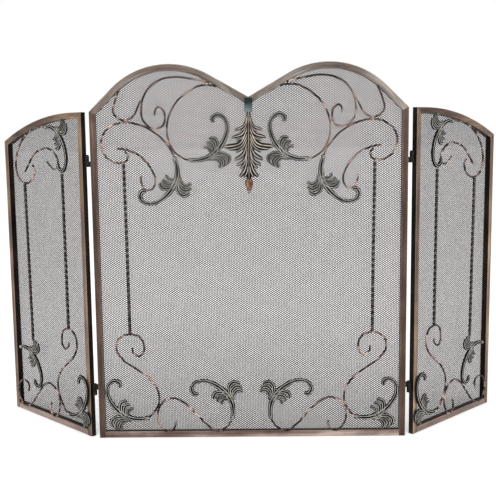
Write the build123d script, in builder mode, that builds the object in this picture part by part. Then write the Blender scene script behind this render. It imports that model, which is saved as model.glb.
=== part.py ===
from build123d import *
from math import acos, atan2, cos, degrees, hypot, pi, radians, sin, sqrt, tan
import os

# Three-panel fireplace screen, in millimetres.
# Origin: middle of the centre panel, on the floor, half way through the frame bar.
# +X runs to the right, +Y to the hearth behind the screen, +Z up.
# A panel is drawn on its own face plane: x along the panel, y up, z towards the room.

# ---- driving dimensions -------------------------------------------------------------
centre_width = 686.0        # centre panel, over the stiles
shoulder_height = 727.0     # outer top corners of the centre panel
valley_rise = 27.0          # dip in the middle of the top, above the shoulders
hump_rise = 98.5            # crown of each hump, above the shoulders
hump_radius = 175.0         # outer edge of a hump
side_width = 324.0          # side panel, over the stiles
side_drop = 62.0            # fall of the side panel's top towards its far stile
side_flat_run = 35.0        # level stretch of that top beside the hinge

bar_face = 14.0             # frame bar, seen from the front
bar_depth = 12.5            # frame bar, front to back
bar_corner = 1.2            # rounding along the frame bar

rest_fold = 45.0            # side panels folded back from flat, degrees
hinge_gap = 8.3             # from a stile's side to the hinge axis
axis_back = 1.2             # hinge axis behind the middle of the bar
knuckle_diameter = 9.5
knuckle_height = 12.0
knuckle_gap = 0.3           # between a fixed and a moving knuckle
web_thickness = 6.0         # plate that joins a knuckle to its stile
lower_hinge_height = 98.0   # bottom of the lower hinge
upper_hinge_below = 118.0   # bottom of the upper hinge, below the shoulder
pin_diameter = 4.5
pin_fit = 0.02              # radial, pin in the fixed knuckle
pin_clearance = 0.06        # radial, pin in the moving knuckle
pin_head_diameter = 7.5
pin_head_height = 1.5

rod_diameter = 4.4          # round bar of the scrolls
rod_proud = 1.95            # scroll centre line in front of the frame's face
twist_diameter = 6.4        # square bar of the twisted uprights, over its flats
frond_thickness = 6.5
frond_seat = 0.05           # cast fronds in front of the frame's face

mesh_inset = 6.0            # mesh edge inside the frame's outer edge
mesh_thickness = 0.5
strip_width = 7.6           # strips that clamp the mesh
strip_thickness = 1.5
strip_gap = 1.0             # between neighbouring strips
rivet_diameter = 3.2
rivet_clearance = 0.05      # radial
rivet_length = 4.5          # into the frame bar
rivet_head_diameter = 6.4
rivet_head_height = 1.4
rivet_head_taper = 25       # degrees
weld_gap = 0.1              # between pieces that meet end on

# ---- worked out from them -----------------------------------------------------------
half_width = centre_width / 2
valley_height = shoulder_height + valley_rise
hump_centre = (half_width / 2, shoulder_height + hump_rise - hump_radius)
fold = radians(rest_fold)
rod_plane = bar_depth / 2 + rod_proud
frond_back = bar_depth / 2 + frond_seat
mesh_back = bar_depth / 2 + mesh_thickness
strip_back = mesh_back + strip_thickness
upper_hinge_height = shoulder_height - upper_hinge_below
mitre_spare = bar_face * 1.5

axis_x = half_width + hinge_gap
centre_face = Plane.XZ
side_face = Plane(
    origin=(
        axis_x + hinge_gap * cos(fold) + axis_back * sin(fold),
        axis_back + hinge_gap * sin(fold) - axis_back * cos(fold),
        0,
    ),
    x_dir=(cos(fold), sin(fold), 0),
    z_dir=(sin(fold), -cos(fold), 0),
)

# The left panel's curved crown bar is drawn on a plane that faces the hearth instead.
left_face = Plane(
    origin=(-side_face.origin.X, side_face.origin.Y, 0),
    x_dir=(-cos(fold), sin(fold), 0),
    z_dir=(sin(fold), cos(fold), 0),
)

# The scroll patterns are drawn for these openings, and spread to the real ones.
drawn_half_opening = 329.0
drawn_side_opening = 296.0
drawn_shoulder = 727.0
drawn_bar_face = 14.0
centre_spread = (half_width - bar_face) / drawn_half_opening
side_spread = (side_width - 2 * bar_face) / drawn_side_opening
top_lift = shoulder_height - drawn_shoulder
foot_lift = bar_face - drawn_bar_face


def centre_top(point):
    """Place of a drawn point in the centre panel's upper scrollwork."""
    return (point[0] * centre_spread, point[1] + top_lift)


def centre_foot(point):
    """Place of a drawn point in the centre panel's lower scrollwork."""
    return (point[0] * centre_spread, point[1] + foot_lift)


def side_top(point):
    """Place of a drawn point in a side panel's upper scrollwork."""
    return (bar_face + (point[0] - drawn_bar_face) * side_spread, point[1] + top_lift)


def side_foot(point):
    """Place of a drawn point in a side panel's lower scrollwork."""
    return (bar_face + (point[0] - drawn_bar_face) * side_spread, point[1] + foot_lift)


# ---- plane geometry -----------------------------------------------------------------
def tangent_normal(centre, radius, point, turn):
    """Unit vector from a circle's centre to where a line from the point touches it."""
    away_x, away_z = point[0] - centre[0], point[1] - centre[1]
    angle = atan2(away_z, away_x) + turn * acos(radius / hypot(away_x, away_z))
    return (cos(angle), sin(angle))


def on_circle(centre, radius, normal):
    return (centre[0] + radius * normal[0], centre[1] + radius * normal[1])


def circle_heading(first, second, third, at):
    """Direction, at one of three points, of the circle that runs through them in order."""
    ax, ay = second[0] - first[0], second[1] - first[1]
    bx, by = third[0] - first[0], third[1] - first[1]
    cross = 2 * (ax * by - ay * bx)
    if abs(cross) < 1e-6:
        return (bx / hypot(bx, by), by / hypot(bx, by))
    ux = (by * (ax * ax + ay * ay) - ay * (bx * bx + by * by)) / cross
    uy = (ax * (bx * bx + by * by) - bx * (ax * ax + ay * ay)) / cross
    out_x, out_y = at[0] - first[0] - ux, at[1] - first[1] - uy
    side = 1 if cross > 0 else -1
    size = hypot(out_x, out_y)
    return (-side * out_y / size, side * out_x / size)


def arc_middle(start, heading, end):
    """Middle point of the arc that leaves start along heading and reaches end."""
    run_x, run_y = end[0] - start[0], end[1] - start[1]
    half_turn = atan2(heading[0] * run_y - heading[1] * run_x, heading[0] * run_x + heading[1] * run_y)
    rise = tan(half_turn / 2) / 2
    return ((start[0] + end[0]) / 2 + run_y * rise, (start[1] + end[1]) / 2 - run_x * rise)


def reflected(heading, start, end):
    """Heading at the end of an arc that leaves start along heading."""
    run_x, run_y = end[0] - start[0], end[1] - start[1]
    along = 2 * (heading[0] * run_x + heading[1] * run_y) / (run_x**2 + run_y**2)
    return (along * run_x - heading[0], along * run_y - heading[1])


def smooth_arcs(points):
    """Pairs of tangent arcs from point to point, as (start, middle, end) triples."""
    headings = [circle_heading(*points[:3], points[0])]
    headings += [circle_heading(*points[i - 1 : i + 2], points[i]) for i in range(1, len(points) - 1)]
    headings += [circle_heading(*points[-3:], points[-1])]
    arcs = []
    for start, end, leave, arrive in zip(points, points[1:], headings, headings[1:]):
        run_x, run_y = end[0] - start[0], end[1] - start[1]
        length2 = run_x**2 + run_y**2
        forward = run_x * (leave[0] + arrive[0]) + run_y * (leave[1] + arrive[1])
        bend = 2 * (1 - leave[0] * arrive[0] - leave[1] * arrive[1])
        reach = length2 / (forward + sqrt(forward**2 + bend * length2))
        joint = (
            (start[0] + end[0] + reach * (leave[0] - arrive[0])) / 2,
            (start[1] + end[1] + reach * (leave[1] - arrive[1])) / 2,
        )
        arcs.append((start, arc_middle(start, leave, joint), joint))
        turned = reflected(leave, start, joint)
        arcs.append((joint, arc_middle(joint, turned, end), end))
    return arcs


def draw_arcs(points):
    """Edges of the smooth line through the points, on the active work plane."""
    edges = []
    for start, middle, end in smooth_arcs(points):
        chord_middle = ((start[0] + end[0]) / 2, (start[1] + end[1]) / 2)
        straight = hypot(middle[0] - chord_middle[0], middle[1] - chord_middle[1]) < 0.005
        edges.append(Line(start, end) if straight else ThreePointArc(start, middle, end))
    return edges


# ---- shape of the centre panel's top ------------------------------------------------
shoulder_corner = (half_width, shoulder_height)
valley_corner = (0.0, valley_height)
shoulder_normal = tangent_normal(hump_centre, hump_radius, shoulder_corner, 1)
valley_normal = tangent_normal(hump_centre, hump_radius, valley_corner, -1)
hump_normal = (0.0, 1.0)
toward_hump = (-shoulder_normal[1], shoulder_normal[0])


def arch_points(inset, spare=0.0):
    """Valley, both ends and the crown of the hump, and the shoulder, inside the outer edge."""
    radius = hump_radius - inset
    valley = (valley_corner[0] - inset * valley_normal[0], valley_corner[1] - inset * valley_normal[1])
    shoulder = (
        shoulder_corner[0] - inset * shoulder_normal[0],
        shoulder_corner[1] - inset * shoulder_normal[1],
    )
    return [
        (valley[0] - spare * valley_normal[1], valley[1] + spare * valley_normal[0]),
        on_circle(hump_centre, radius, valley_normal),
        on_circle(hump_centre, radius, hump_normal),
        on_circle(hump_centre, radius, shoulder_normal),
        (shoulder[0] - spare * toward_hump[0], shoulder[1] - spare * toward_hump[1]),
    ]


def under_arch(x):
    """Point on the lower edge of the arch bar at this distance from the middle."""
    start, bend_start, _, bend_end, end = arch_points(bar_face)
    if bend_start[0] < x < bend_end[0]:
        radius = hump_radius - bar_face
        return (x, hump_centre[1] + sqrt(radius**2 - (x - hump_centre[0]) ** 2))
    low, high = (start, bend_start) if x <= bend_start[0] else (end, bend_end)
    share = (x - low[0]) / (high[0] - low[0])
    return (x, low[1] + share * (high[1] - low[1]))


# ---- shape of a side panel's top ----------------------------------------------------
crown_run = side_width - side_flat_run
crown_radius = (crown_run**2 + side_drop**2) / (2 * side_drop)
crown_centre = (side_flat_run, shoulder_height - crown_radius)
crown_end_angle = acos(crown_run / crown_radius)


def crown_points(inset, spare=0.0):
    """Near corner, then the start, middle and end of the curve, inside the outer edge."""
    radius = crown_radius - inset
    end_angle = crown_end_angle - spare / radius
    middle_angle = (pi / 2 + end_angle) / 2
    return [
        (-spare, shoulder_height - inset),
        (side_flat_run, shoulder_height - inset),
        on_circle(crown_centre, radius, (cos(middle_angle), sin(middle_angle))),
        on_circle(crown_centre, radius, (cos(end_angle), sin(end_angle))),
    ]


def centre_outline(inset):
    """Outline of the centre panel, moved inwards."""
    with BuildSketch() as outline:
        with BuildLine():
            valley, bend_start, crown, bend_end, shoulder = arch_points(0)
            Polyline((0, 0), (half_width, 0), shoulder, bend_end)
            ThreePointArc(bend_end, crown, bend_start)
            Line(bend_start, valley)
            mirror(about=Plane.YZ)
        make_face()
        offset(amount=-inset, kind=Kind.INTERSECTION, mode=Mode.REPLACE)
    return outline.sketch


def side_outline(inset):
    """Outline of a side panel, moved inwards."""
    with BuildSketch() as outline:
        with BuildLine():
            near, bend_start, middle, far = crown_points(0)
            Polyline(bend_start, near, (0, 0), (side_width, 0), far)
            ThreePointArc(far, middle, bend_start)
        make_face()
        offset(amount=-inset, kind=Kind.INTERSECTION, mode=Mode.REPLACE)
    return outline.sketch


# ---- rivets -------------------------------------------------------------------------
rivet_inset = mesh_inset + strip_width / 2
stile_shares = (0.12, 0.5, 0.88)
rail_shares = (-0.75, -0.25, 0.25, 0.75)
hump_angles = (-20, 0, 20)
crown_shares = (0.2, 0.5, 0.8)

centre_spots = [(share * half_width, rivet_inset) for share in rail_shares]
side_spots = [((0.5 + share / 2) * side_width, rivet_inset) for share in (rail_shares[0], rail_shares[3])]
for share in stile_shares:
    height = share * shoulder_height
    centre_spots += [(half_width - rivet_inset, height), (rivet_inset - half_width, height)]
    side_spots.append((rivet_inset, height))
    side_spots.append((side_width - rivet_inset, share * (shoulder_height - side_drop)))
for angle in hump_angles:
    lean = (sin(radians(angle)), cos(radians(angle)))
    spot = on_circle(hump_centre, hump_radius - rivet_inset, lean)
    centre_spots += [spot, (-spot[0], spot[1])]
for share in crown_shares:
    angle = pi / 2 - share * (pi / 2 - crown_end_angle)
    lean = (cos(angle), sin(angle))
    side_spots.append(on_circle(crown_centre, crown_radius - rivet_inset, lean))


# ---- pieces that every panel has ----------------------------------------------------
def mitre(face, corner, toward):
    """Plane through a corner of the frame; the bar is kept on the side it points away from."""
    origin = face.from_local_coords((*corner, 0))
    normal = face.from_local_coords((*toward, 0)) - face.origin
    return Plane(origin=origin, z_dir=normal)


def frame_bar(face, route, cuts, spots, back=-1):
    """Rounded flat bar along a straight or once-bent route, mitred, with rivet pockets.

    The hearth side is behind the face plane when back is -1 and in front of it when 1.
    """
    with BuildPart() as bar:
        with BuildLine(face) as route_line:
            if len(route) == 2:
                Line(*route)
            else:
                Line(*route[:2])
                ThreePointArc(*route[1:4])
                if len(route) > 4:
                    Line(*route[3:])
        path = route_line.line
        with BuildSketch(Plane(origin=path @ 0, x_dir=face.z_dir, z_dir=path % 0)):
            RectangleRounded(bar_depth, bar_face, bar_corner)
        sweep(path=path)
        for cut in cuts:
            split(bisect_by=cut, keep=Keep.BOTTOM)
        with BuildSketch(face.offset(back * bar_depth / 2)):
            with Locations(*spots):
                Circle(rivet_diameter / 2 + rivet_clearance)
        extrude(amount=-back * rivet_length, mode=Mode.SUBTRACT)
    return bar.part


def mesh_sheet(face, outline, spots):
    """Woven mesh as a thin plate on the back of the frame."""
    with BuildPart() as sheet:
        with BuildSketch(face.offset(-mesh_back)):
            add(outline(mesh_inset))
            with Locations(*spots):
                Circle(rivet_diameter / 2 + rivet_clearance, mode=Mode.SUBTRACT)
        extrude(amount=mesh_thickness)
    return sheet.part


def clamp_strips(face, outline, spots, corners):
    """Flat strips round the mesh, one to each frame bar, cut short at the corners."""
    with BuildPart() as strips:
        with BuildSketch(face.offset(-strip_back)):
            add(outline(mesh_inset))
            add(outline(mesh_inset + strip_width), mode=Mode.SUBTRACT)
            for corner, angle in corners:
                with Locations(Location((*corner, 0), (0, 0, angle))):
                    Rectangle(4 * bar_face, strip_gap, mode=Mode.SUBTRACT)
            with Locations(*spots):
                Circle(rivet_diameter / 2 + rivet_clearance, mode=Mode.SUBTRACT)
        extrude(amount=strip_thickness)
    return strips.part


def rivet_set(face, spots):
    """Rivets through the strips and the mesh into the frame bars."""
    with BuildPart() as rivets:
        with BuildSketch(face.offset(-strip_back)):
            with Locations(*spots):
                Circle(rivet_diameter / 2)
        extrude(amount=strip_back - bar_depth / 2 + rivet_length - rivet_clearance)
        with BuildSketch(face.offset(-strip_back)):
            with Locations(*spots):
                Circle(rivet_head_diameter / 2)
        extrude(amount=-rivet_head_height, taper=rivet_head_taper)
    return rivets.part


def bent_rod(face, points):
    """Round bar bent through the points, as a chain of tangent arcs."""
    with BuildPart() as rod:
        with BuildLine(face.offset(rod_plane)) as route_line:
            draw_arcs(points)
        path = route_line.line
        with BuildSketch(Plane(origin=path @ 0, z_dir=path % 0)):
            Circle(rod_diameter / 2)
        sweep(path=path)
    return rod.part


def upright_bar(face, top, foot):
    """Twisted upright between two scrolls, as a plain round bar of its outer size."""
    with BuildPart() as bar:
        with BuildLine(face.offset(rod_plane)) as route_line:
            Line(foot, top)
        path = route_line.line
        with BuildSketch(Plane(origin=path @ 0, z_dir=path % 0)):
            Circle(twist_diameter / 2)
        sweep(path=path)
    return bar.part


# One casting pattern serves every frond. It is drawn with its root at (0, 0) and its stem
# along +x; the long hook curls to the left, with two short lobes inside it and three outside.
hook_line = [
    (0, 0), (20, 0), (40, 6), (58, 19), (72, 37), (80, 56),
    (82, 72), (77, 87), (68, 95), (58, 96), (52, 90), (54, 82),
]
hook_half_width = [4.5, 5, 6, 5.5, 5, 5, 4.7, 4.2, 3.8, 3.4, 3, 1.5]
lobes = [
    ((40, 2), (58, 26), (44, 47), (48, 30), (36, 6)),
    ((40, 4), (50, 18), (38, 30), (43, 18), (32, 4)),
    ((46, 8), (74, 16), (92, -6), (72, 4), (44, -2)),
    ((46, 0), (70, 1), (83, -13), (66, -7), (42, -2)),
    ((42, 2), (60, -5), (72, -19), (55, -12), (34, -3)),
]


def side_points(points, half_widths, side):
    """Points beside a line, on one side of it, at the given distances."""
    before = [points[0]] + points[:-1]
    after = points[1:] + [points[-1]]
    beside = []
    for point, back, ahead, half in zip(points, before, after, half_widths):
        run_x, run_y = ahead[0] - back[0], ahead[1] - back[1]
        scale = side * half / hypot(run_x, run_y)
        beside.append((point[0] - run_y * scale, point[1] + run_x * scale))
    return beside


def frond(face, place, root, heading, hand):
    """Cast frond: root point, direction of its stem in degrees, and which way it hooks."""
    turn = radians(heading)
    along = (cos(turn), sin(turn))
    across = (-hand * sin(turn), hand * cos(turn))

    def seat(point):
        x = root[0] + point[0] * along[0] + point[1] * across[0]
        z = root[1] + point[0] * along[1] + point[1] * across[1]
        return place((x, z))

    left_edge = [seat(point) for point in side_points(hook_line, hook_half_width, 1)]
    right_edge = [seat(point) for point in side_points(hook_line, hook_half_width, -1)]
    with BuildPart() as casting:
        with BuildSketch(face.offset(frond_back)):
            with BuildLine():
                draw_arcs(left_edge)
                Line(left_edge[-1], right_edge[-1])
                draw_arcs(right_edge)
                Line(left_edge[0], right_edge[0])
            make_face()
            for start, outer, tip, inner, end in lobes:
                with BuildLine():
                    ThreePointArc(seat(start), seat(outer), seat(tip))
                    ThreePointArc(seat(tip), seat(inner), seat(end))
                    Line(seat(end), seat(start))
                make_face()
        extrude(amount=frond_thickness)
    return casting.part


def mirrored_pair(piece):
    with BuildPart() as pair:
        add(piece)
        mirror(about=Plane.YZ)
    return pair.part


def save(piece, name):
    piece.label = name
    export_step(piece, "parts/" + name + ".step")


def save_sides(piece, name):
    """The right side panel's piece and its mirror image on the left."""
    save(piece, "right_" + name)
    save(mirror(piece, about=Plane.YZ), "left_" + name)


os.makedirs("parts", exist_ok=True)

# ---- centre panel: frame ------------------------------------------------------------
bar_middle = bar_face / 2
stile_x = half_width - bar_middle
shoulder_mitre = (toward_hump[0], toward_hump[1] + 1)
with BuildPart() as centre_right_stile:
    add(
        frame_bar(
            centre_face,
            [(stile_x, 0), (stile_x, shoulder_height + mitre_spare)],
            [mitre(centre_face, shoulder_corner, shoulder_mitre)],
            centre_spots,
        )
    )
save(centre_right_stile.part, "centre_right_stile")
save(mirror(centre_right_stile.part, about=Plane.YZ), "centre_left_stile")

with BuildPart() as centre_bottom_rail:
    add(
        frame_bar(
            centre_face,
            [(bar_face - half_width, bar_middle), (half_width - bar_face, bar_middle)],
            [],
            centre_spots,
        )
    )
save(centre_bottom_rail.part, "centre_bottom_rail")

with BuildPart() as centre_right_arch:
    add(
        frame_bar(
            centre_face,
            arch_points(bar_middle, mitre_spare),
            [
                mitre(centre_face, valley_corner, (-1, 0)),
                mitre(centre_face, shoulder_corner, (-shoulder_mitre[0], -shoulder_mitre[1])),
            ],
            centre_spots,
        )
    )
save(centre_right_arch.part, "centre_right_arch")
save(mirror(centre_right_arch.part, about=Plane.YZ), "centre_left_arch")

# ---- centre panel: mesh and its fixings ---------------------------------------------
shoulder_angle = degrees(atan2(shoulder_mitre[1], shoulder_mitre[0])) - 90
centre_corners = [
    ((half_width, 0), -45),
    ((-half_width, 0), 45),
    (shoulder_corner, shoulder_angle),
    ((-half_width, shoulder_height), -shoulder_angle),
    (valley_corner, 90),
]
save(mesh_sheet(centre_face, centre_outline, centre_spots), "centre_mesh")
save(clamp_strips(centre_face, centre_outline, centre_spots, centre_corners), "centre_clamp_strips")
save(rivet_set(centre_face, centre_spots), "centre_rivets")

# ---- centre panel: scrollwork -------------------------------------------------------
crest_root = (127.5, 621)
shoulder_root = (161, 627)
corner_root = (230, 47)
base_root = (43, 43)

centre_top_rods = {
    "shoulder_hooks": [
        (286, 746), (290, 727), (283, 714), (266, 707.9), (248, 715.5), (238, 733), (231.3, 748.5),
    ],
    "shoulder_scrolls": [
        shoulder_root, (166, 640), (177, 656), (204, 683), (234, 697.5), (266, 703.5), (298, 694),
        (316, 672), (315, 643), (299, 622), (278, 617), (264, 622), (261, 632), (267.7, 641.4),
    ],
    "crest_scrolls": [
        (120, 793.5), (156, 798), (190, 791.5), (216, 771), (229, 736), (225, 705.5), (204, 690.55),
        (184, 696), (179.5, 716), (184, 731), (194, 735), (200, 727), (199.5, 717),
    ],
    "heart_scrolls": [
        (100, 779), (136, 762), (165.5, 727), (175.5, 686), (166.7, 650), (148.3, 628.5), crest_root,
    ],
    "inner_hooks": [
        (285, 648), (262, 644.5), (234, 630), (212, 605), (203, 574), (208, 562), (218, 557.5),
        (228, 562), (233, 573), (233, 588),
    ],
}
arch_starts = {"shoulder_hooks": 275, "crest_scrolls": 82, "heart_scrolls": 68}
for name, points in centre_top_rods.items():
    route = [centre_top(point) for point in points]
    if name in arch_starts:
        route = [under_arch(arch_starts[name] * centre_spread)] + route
    save(mirrored_pair(bent_rod(centre_face, route)), name)

centre_foot_rods = {
    "lower_scrolls": [
        (263, 207), (259, 193), (250, 188.5), (240, 195), (237, 212), (245, 230), (268, 238),
        (292, 229), (299, 205), (285, 181), (256, 160), (226, 136), (208.5, 108), (207, 81), (216.5, 62),
        corner_root,
    ],
    "base_scrolls": [
        (171, 38), (174, 22), (188, 14.5), (203, 26), (211, 48), (207.3, 68), (196, 84), (172, 91),
        (148, 79), (122, 53), (98, 27), (78, 14.5), (60, 20), (48, 34), base_root,
    ],
}
for name, points in centre_foot_rods.items():
    route = [centre_foot(point) for point in points]
    save(mirrored_pair(bent_rod(centre_face, route)), name)

upper_scroll_foot = 617.0
lower_scroll_top = 238.0
bar_top = centre_top((270.5, upper_scroll_foot - rod_diameter / 2 - weld_gap))
bar_foot = centre_foot((267.5, lower_scroll_top + rod_diameter / 2 + weld_gap))
save(mirrored_pair(upright_bar(centre_face, bar_top, bar_foot)), "centre_twisted_bars")

save(mirrored_pair(frond(centre_face, centre_top, crest_root, 180, -1)), "crest_fronds")
save(mirrored_pair(frond(centre_face, centre_top, shoulder_root, 254, 1)), "shoulder_fronds")
save(mirrored_pair(frond(centre_face, centre_foot, corner_root, -9, 1)), "corner_fronds")
save(mirrored_pair(frond(centre_face, centre_foot, base_root, 95, -1)), "base_fronds")

# ---- centre panel: pendant ----------------------------------------------------------
collar_half_width = 8.5
collar_height = 30.0
collar_rounding = 2.0
collar_drop = 2.0
collar_foot = valley_height - collar_drop - collar_height
with BuildPart() as pendant_collar:
    with BuildSketch(centre_face.offset(frond_back)):
        with Locations((0, collar_foot + collar_height / 2)):
            RectangleRounded(2 * collar_half_width, collar_height, collar_rounding)
    extrude(amount=frond_thickness)
save(pendant_collar.part, "pendant_collar")

leaf_height = 144.0
leaf_edge = [
    (7, 0), (10, -14), (18, -34), (31, -43), (20, -48), (22, -54), (38, -59), (35, -67), (53, -77),
    (46, -83), (20, -83), (17, -88), (29, -105), (25, -111), (29, -123), (11, -121), (20, -146), (7, -141),
    (0, -leaf_height),
]
with BuildPart() as pendant_leaf:
    with BuildSketch(centre_face.offset(frond_back)):
        with BuildLine():
            Polyline((0, collar_foot), *[(x * centre_spread, collar_foot + z) for x, z in leaf_edge])
            mirror(about=Plane.YZ)
        make_face()
    extrude(amount=frond_thickness)
save(pendant_leaf.part, "pendant_leaf")

bud_radius = 8.5
bud_length = 34.0
bud_top = collar_foot - leaf_height - weld_gap
bud_middle = bud_top - bud_radius
bud_taper = acos(bud_radius / (bud_length - bud_radius))
bud_shoulder = (bud_radius * sin(bud_taper), bud_middle - bud_radius * cos(bud_taper))
with BuildPart() as pendant_bud:
    with BuildSketch(centre_face.offset(frond_back + frond_thickness / 2)):
        with BuildLine():
            ThreePointArc((0, bud_top), (bud_radius, bud_middle), bud_shoulder)
            Polyline(bud_shoulder, (0, bud_top - bud_length), (0, bud_top))
        make_face()
    revolve(axis=Axis((0, -frond_back - frond_thickness / 2, 0), (0, 0, 1)))
save(pendant_bud.part, "pendant_bud")

# ---- side panels: frame -------------------------------------------------------------
crown_heading = (sin(crown_end_angle), -cos(crown_end_angle))
near_corner = (0, shoulder_height)
far_corner = (side_width, shoulder_height - side_drop)
with BuildPart() as hinge_stile:
    add(
        frame_bar(
            side_face,
            [(bar_middle, 0), (bar_middle, shoulder_height + mitre_spare)],
            [mitre(side_face, near_corner, (1, 1))],
            side_spots,
        )
    )
save_sides(hinge_stile.part, "hinge_stile")

with BuildPart() as far_stile:
    add(
        frame_bar(
            side_face,
            [(side_width - bar_middle, 0), (side_width - bar_middle, shoulder_height)],
            [mitre(side_face, far_corner, (-crown_heading[0], 1 - crown_heading[1]))],
            side_spots,
        )
    )
save_sides(far_stile.part, "far_stile")

with BuildPart() as side_bottom_rail:
    add(
        frame_bar(
            side_face,
            [(bar_face, bar_middle), (side_width - bar_face, bar_middle)],
            [],
            side_spots,
        )
    )
save_sides(side_bottom_rail.part, "bottom_rail")

for side, face, back in (("right", side_face, -1), ("left", left_face, 1)):
    with BuildPart() as crown:
        add(
            frame_bar(
                face,
                crown_points(bar_middle, mitre_spare),
                [
                    mitre(face, near_corner, (-1, -1)),
                    mitre(face, far_corner, (crown_heading[0], crown_heading[1] - 1)),
                ],
                side_spots,
                back,
            )
        )
    save(crown.part, side + "_crown")

# ---- side panels: mesh and its fixings ----------------------------------------------
far_angle = degrees(atan2(1 - crown_heading[1], -crown_heading[0])) - 90
side_corners = [((0, 0), 45), ((side_width, 0), -45), (near_corner, -45), (far_corner, far_angle)]
save_sides(mesh_sheet(side_face, side_outline, side_spots), "mesh")
save_sides(clamp_strips(side_face, side_outline, side_spots, side_corners), "clamp_strips")
save_sides(rivet_set(side_face, side_spots), "rivets")

# ---- side panels: scrollwork --------------------------------------------------------
crown_root = (136, 697)
far_root = (288, 161)
hinge_root = (87, 35)
side_top_rods = {
    "outer_scroll": [
        crown_root, (160, 697), (186, 693.5), (217, 682), (247, 660), (267, 630), (271, 598), (258, 576),
        (235, 567), (210, 571), (193, 586), (189.5, 600), (198, 609),
    ],
    "inner_scroll": [
        (231, 594), (213, 613), (190, 634), (160, 646), (128, 648), (104, 638), (91, 620), (94, 607),
        (107, 602), (121, 608), (134, 618),
    ],
}
for name, points in side_top_rods.items():
    save_sides(bent_rod(side_face, [side_top(point) for point in points]), name)

side_foot_rods = {
    "lower_scroll": [
        (75, 207), (80, 194), (91, 189), (101, 196), (103, 215), (94, 232), (74, 237.5), (51, 228),
        (43, 206), (54, 180), (82, 157), (110, 134), (126, 108), (126, 82), (114, 58), (100, 42), hinge_root,
    ],
    "base_scroll": [
        (158, 45), (162, 28), (154, 17), (142, 15), (128.7, 29), (122, 52), (128.7, 74), (146, 88.5),
        (167, 92), (189, 82), (217, 55), (245, 27), (266, 15), (288, 17), (303, 36), (303, 59), (290, 75),
        (272, 78), (258, 70), (261, 53),
    ],
}
for name, points in side_foot_rods.items():
    save_sides(bent_rod(side_face, [side_foot(point) for point in points]), name)

with BuildPart() as side_twisted_bars:
    add(upright_bar(side_face, side_top((235, 564.4)), side_foot((229, 187))))
    add(upright_bar(side_face, side_top((76.5, 592)), side_foot((74.5, 239.8))))
save_sides(side_twisted_bars.part, "twisted_bars")

save_sides(frond(side_face, side_top, crown_root, 182, 1), "crown_frond")
save_sides(frond(side_face, side_foot, far_root, 172, 1), "far_frond")
save_sides(frond(side_face, side_foot, hinge_root, 178, -1), "hinge_frond")


# ---- hinges -------------------------------------------------------------------------
def knuckle(bottom, stile_side, face, bore_clearance):
    """Barrel on the hinge axis with a web to the side of a stile."""
    with BuildPart() as barrel:
        with BuildSketch(Plane.XY.offset(bottom)):
            with Locations((axis_x, axis_back)):
                Circle(knuckle_diameter / 2)
        extrude(amount=knuckle_height)
        with BuildSketch(face.offset(-axis_back - web_thickness / 2)):
            with Locations((stile_side, bottom + knuckle_height / 2)):
                Rectangle(hinge_gap, knuckle_height)
        extrude(amount=web_thickness)
        with BuildSketch(Plane.XY.offset(bottom)):
            with Locations((axis_x, axis_back)):
                Circle(pin_diameter / 2 + bore_clearance)
        extrude(amount=knuckle_height, mode=Mode.SUBTRACT)
    return barrel.part


def hinge_pin(bottom):
    """Headed pin through both knuckles."""
    top = bottom + 2 * knuckle_height + knuckle_gap
    with BuildPart() as pin:
        with BuildSketch(Plane.XY.offset(bottom)):
            with Locations((axis_x, axis_back)):
                Circle(pin_diameter / 2)
        extrude(amount=top + pin_head_height - bottom)
        with BuildSketch(Plane.XY.offset(top + knuckle_gap)):
            with Locations((axis_x, axis_back)):
                Circle(pin_head_diameter / 2)
        extrude(amount=pin_head_height)
    return pin.part


knuckle_step = knuckle_height + knuckle_gap
fixed_middle = half_width + hinge_gap / 2
moving_middle = -hinge_gap / 2
with BuildPart() as fixed_knuckles:
    add(knuckle(lower_hinge_height + knuckle_step, fixed_middle, centre_face, pin_fit))
    add(knuckle(upper_hinge_height, fixed_middle, centre_face, pin_fit))
save(fixed_knuckles.part, "right_fixed_knuckles")
save(mirror(fixed_knuckles.part, about=Plane.YZ), "left_fixed_knuckles")

with BuildPart() as moving_knuckles:
    add(knuckle(lower_hinge_height, moving_middle, side_face, pin_clearance))
    add(knuckle(upper_hinge_height + knuckle_step, moving_middle, side_face, pin_clearance))
save_sides(moving_knuckles.part, "moving_knuckles")

with BuildPart() as hinge_pins:
    add(hinge_pin(lower_hinge_height))
    add(hinge_pin(upper_hinge_height))
save_sides(hinge_pins.part, "hinge_pins")
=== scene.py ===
import math

import bmesh
import bpy
from mathutils import Matrix, Vector


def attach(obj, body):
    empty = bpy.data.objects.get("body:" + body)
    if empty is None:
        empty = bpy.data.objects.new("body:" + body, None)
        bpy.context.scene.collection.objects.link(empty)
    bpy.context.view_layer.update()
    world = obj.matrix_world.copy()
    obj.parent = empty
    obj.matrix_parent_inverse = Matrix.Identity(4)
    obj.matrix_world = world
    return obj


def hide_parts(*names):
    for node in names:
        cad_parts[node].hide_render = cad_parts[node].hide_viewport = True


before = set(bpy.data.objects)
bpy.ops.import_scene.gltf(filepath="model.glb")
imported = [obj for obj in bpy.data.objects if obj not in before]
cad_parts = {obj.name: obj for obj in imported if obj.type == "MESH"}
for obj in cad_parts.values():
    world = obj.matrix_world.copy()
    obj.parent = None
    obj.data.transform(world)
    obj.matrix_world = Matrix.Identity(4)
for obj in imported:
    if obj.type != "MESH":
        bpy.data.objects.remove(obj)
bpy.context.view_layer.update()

MM = 0.001

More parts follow.
